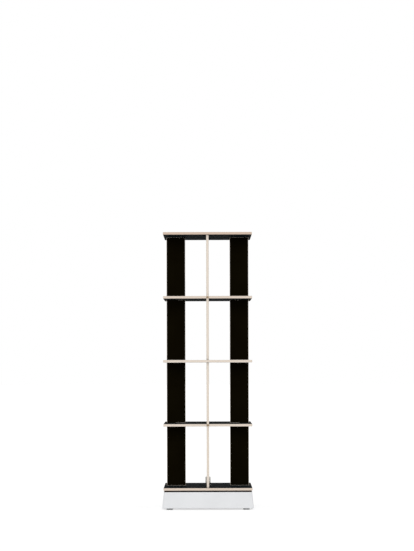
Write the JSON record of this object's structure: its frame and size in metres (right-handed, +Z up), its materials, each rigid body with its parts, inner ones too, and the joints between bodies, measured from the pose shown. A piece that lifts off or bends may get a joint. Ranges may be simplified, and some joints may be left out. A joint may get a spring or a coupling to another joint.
{
  "type": "revolving bookshelf tower",
  "caption": "Revolving open bookshelf: square black-faced plywood boards joined by narrow upright panels in the middle of each side, turning on a ball race over a white steel plinth.",
  "frame": {"origin": "middle of the footprint, on the floor under the feet, on the tower's turning axis", "axes": "+Z up along the turning axis, -Y towards the pictured front, +X to the front's right"},
  "size_m": [0.483, 0.483, 1.4675],
  "materials": {
    "black_laminate": "matt black laminate on birch plywood, sawn edges left pale",
    "birch_ply": "clear lacquered birch plywood",
    "beech_dowel": "plain beech",
    "brown_film_ply": "dark brown film-faced plywood",
    "white_steel": "satin white powder coat",
    "zinc_steel": "bright zinc plate",
    "bronzed_steel": "brown bronzed steel",
    "blackened_steel": "blackened steel",
    "nylon": "natural nylon",
    "black_nylon": "black nylon",
    "foot_rubber": "matt dark grey rubber"
  },
  "bodies": {
    "base": {"plinth_skirt": "white_steel", "plinth_deck": "brown_film_ply", "corner_block_front_left": "birch_ply", "corner_block_front_right": "birch_ply", "corner_block_back_right": "birch_ply", "corner_block_back_left": "birch_ply", "foot_front_left": "foot_rubber", "foot_front_right": "foot_rubber", "foot_back_right": "foot_rubber", "foot_back_left": "foot_rubber", "lower_race_ring": "zinc_steel", "lower_race_screw_1": "zinc_steel", "lower_race_screw_2": "zinc_steel", "lower_race_screw_3": "zinc_steel", "lower_race_screw_4": "zinc_steel", "pivot_bolt": "zinc_steel", "pivot_washer": "blackened_steel", "pivot_nut": "blackened_steel", "pivot_cap_nut": "zinc_steel"},
    "cage": {"ball_cage": "nylon"},
    "tower": {"bottom_board": "black_laminate", "lower_shelf": "black_laminate", "middle_shelf": "black_laminate", "upper_shelf": "black_laminate", "top_board": "black_laminate", "lower_panel_front": "black_laminate", "lower_panel_right": "black_laminate", "lower_panel_back": "black_laminate", "lower_panel_left": "black_laminate", "upper_panel_front": "black_laminate", "upper_panel_right": "black_laminate", "upper_panel_back": "black_laminate", "upper_panel_left": "black_laminate", "panel_screw_front": "zinc_steel", "panel_screw_right": "zinc_steel", "panel_screw_back": "zinc_steel", "panel_screw_left": "zinc_steel", "crossing_screw_front_lower": "bronzed_steel", "crossing_screw_right_lower": "bronzed_steel", "crossing_screw_back_lower": "bronzed_steel", "crossing_screw_left_lower": "bronzed_steel", "crossing_screw_front_upper": "bronzed_steel", "crossing_screw_right_upper": "bronzed_steel", "crossing_screw_back_upper": "bronzed_steel", "crossing_screw_left_upper": "bronzed_steel", "middle_dowel_front": "beech_dowel", "middle_dowel_right": "beech_dowel", "middle_dowel_back": "beech_dowel", "middle_dowel_left": "beech_dowel", "top_dowel_front": "beech_dowel", "top_dowel_right": "beech_dowel", "top_dowel_back": "beech_dowel", "top_dowel_left": "beech_dowel", "upper_race_ring": "zinc_steel", "upper_race_screw_1": "zinc_steel", "upper_race_screw_2": "zinc_steel", "upper_race_screw_3": "zinc_steel", "upper_race_screw_4": "zinc_steel", "pivot_bush": "black_nylon"}
  },
  "joints": [
    {"name": "tower_spin", "type": "hinge", "parent": "base", "child": "tower", "pos_m": [0, 0, 0.0985], "axis": [0, 0, 1], "continuous": true},
    {"name": "cage_spin", "type": "hinge", "parent": "base", "child": "cage", "pos_m": [0, 0, 0.0985], "axis": [0, 0, 1], "continuous": true}
  ],
  "couplings": [
    {"joint": "cage_spin", "follows": "tower_spin", "ratio": 0.5}
  ]
}
